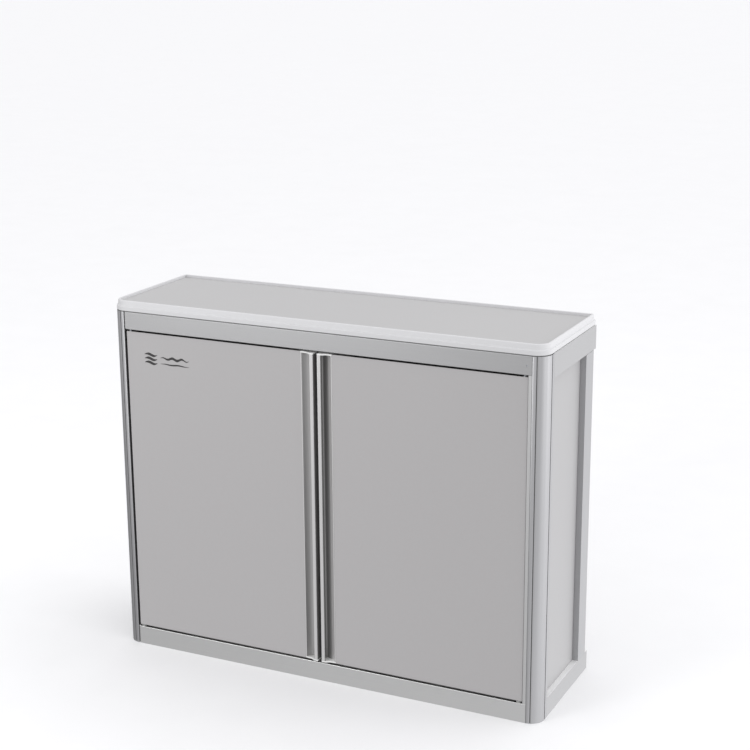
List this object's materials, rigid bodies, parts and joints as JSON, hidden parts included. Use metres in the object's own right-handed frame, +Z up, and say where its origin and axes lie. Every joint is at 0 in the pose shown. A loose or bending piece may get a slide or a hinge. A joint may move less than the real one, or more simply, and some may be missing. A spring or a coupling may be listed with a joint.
{
  "type": "aquarium stand cabinet",
  "caption": "Free-standing aquarium stand cabinet with rounded aluminium columns, pivot-hung doors with full-height pulls and a raised white surround round the tank seat.",
  "frame": {"origin": "bottom centre of the whole cabinet, on the floor", "axes": "+X to the viewer's right when facing the doors, +Y from the doors to the back, +Z up"},
  "size_m": [1, 0.303, 0.8],
  "materials": {
    "column_aluminium": "satin anodised, fine lengthwise extrusion lines",
    "rail_aluminium": "satin anodised",
    "pull_aluminium": "satin anodised extrusion",
    "pull_cap_plastic": "moulded light grey plastic",
    "door_film_board": "warm grey satin film on board",
    "side_panel_board": "light grey satin film on board",
    "rear_panel_board": "light grey matt film on board",
    "floor_board": "light grey satin film on board",
    "top_board": "light grey satin film on board",
    "surround_plastic": "white moulded plastic, semi-gloss",
    "rubber": "matt black",
    "bush_nylon": "white nylon",
    "catch_plastic": "white moulded plastic",
    "magnet": "dark ferrite",
    "black_plastic": "black moulded plastic",
    "bracket_steel": "zinc plated",
    "steel": "zinc plated"
  },
  "bodies": {
    "cabinet": {"front_left_post": "column_aluminium", "front_right_post": "column_aluminium", "rear_left_post": "column_aluminium", "rear_right_post": "column_aluminium", "front_top_rail": "rail_aluminium", "front_bottom_rail": "rail_aluminium", "left_top_rail": "rail_aluminium", "right_top_rail": "rail_aluminium", "left_bottom_rail": "rail_aluminium", "right_bottom_rail": "rail_aluminium", "rear_top_rail": "rail_aluminium", "rear_bottom_rail": "rail_aluminium", "rail_spacers": "rail_aluminium", "right_door_jamb": "rail_aluminium", "top_cross_rails": "rail_aluminium", "floor_cross_rails": "rail_aluminium", "corner_brackets": "bracket_steel", "bracket_screws": "steel", "front_rail_screw": "steel", "post_foot_plugs": "black_plastic", "rail_end_caps": "rail_aluminium", "top_board": "top_board", "top_surround": "surround_plastic", "floor_board": "floor_board", "left_side_panel": "side_panel_board", "right_side_panel": "side_panel_board", "rear_panel": "rear_panel_board", "outlet_grommet": "rubber", "left_upper_bush": "bush_nylon", "left_lower_bush": "bush_nylon", "right_upper_bush": "bush_nylon", "right_lower_bush": "bush_nylon", "left_catch_housing": "catch_plastic", "right_catch_housing": "catch_plastic", "catch_magnets": "magnet", "catch_screws": "steel"},
    "left_door": {"left_door_panel": "door_film_board", "left_door_handle": "pull_aluminium", "left_handle_top_cap": "pull_cap_plastic", "left_handle_bottom_cap": "pull_cap_plastic", "left_upper_pivot": "steel", "left_lower_pivot": "steel", "left_strike_plate": "steel", "left_strike_screw": "steel"},
    "right_door": {"right_door_panel": "door_film_board", "right_door_handle": "pull_aluminium", "right_handle_top_cap": "pull_cap_plastic", "right_handle_bottom_cap": "pull_cap_plastic", "right_upper_pivot": "steel", "right_lower_pivot": "steel", "right_strike_plate": "steel", "right_strike_screw": "steel"}
  },
  "joints": [
    {"name": "left_door_hinge", "type": "hinge", "parent": "cabinet", "child": "left_door", "pos_m": [-0.4572, -0.1405, 0.39], "axis": [0, 0, -1], "range_deg": [0, 100]},
    {"name": "right_door_hinge", "type": "hinge", "parent": "cabinet", "child": "right_door", "pos_m": [0.4525, -0.1405, 0.39], "axis": [0, 0, 1], "range_deg": [0, 100]}
  ]
}
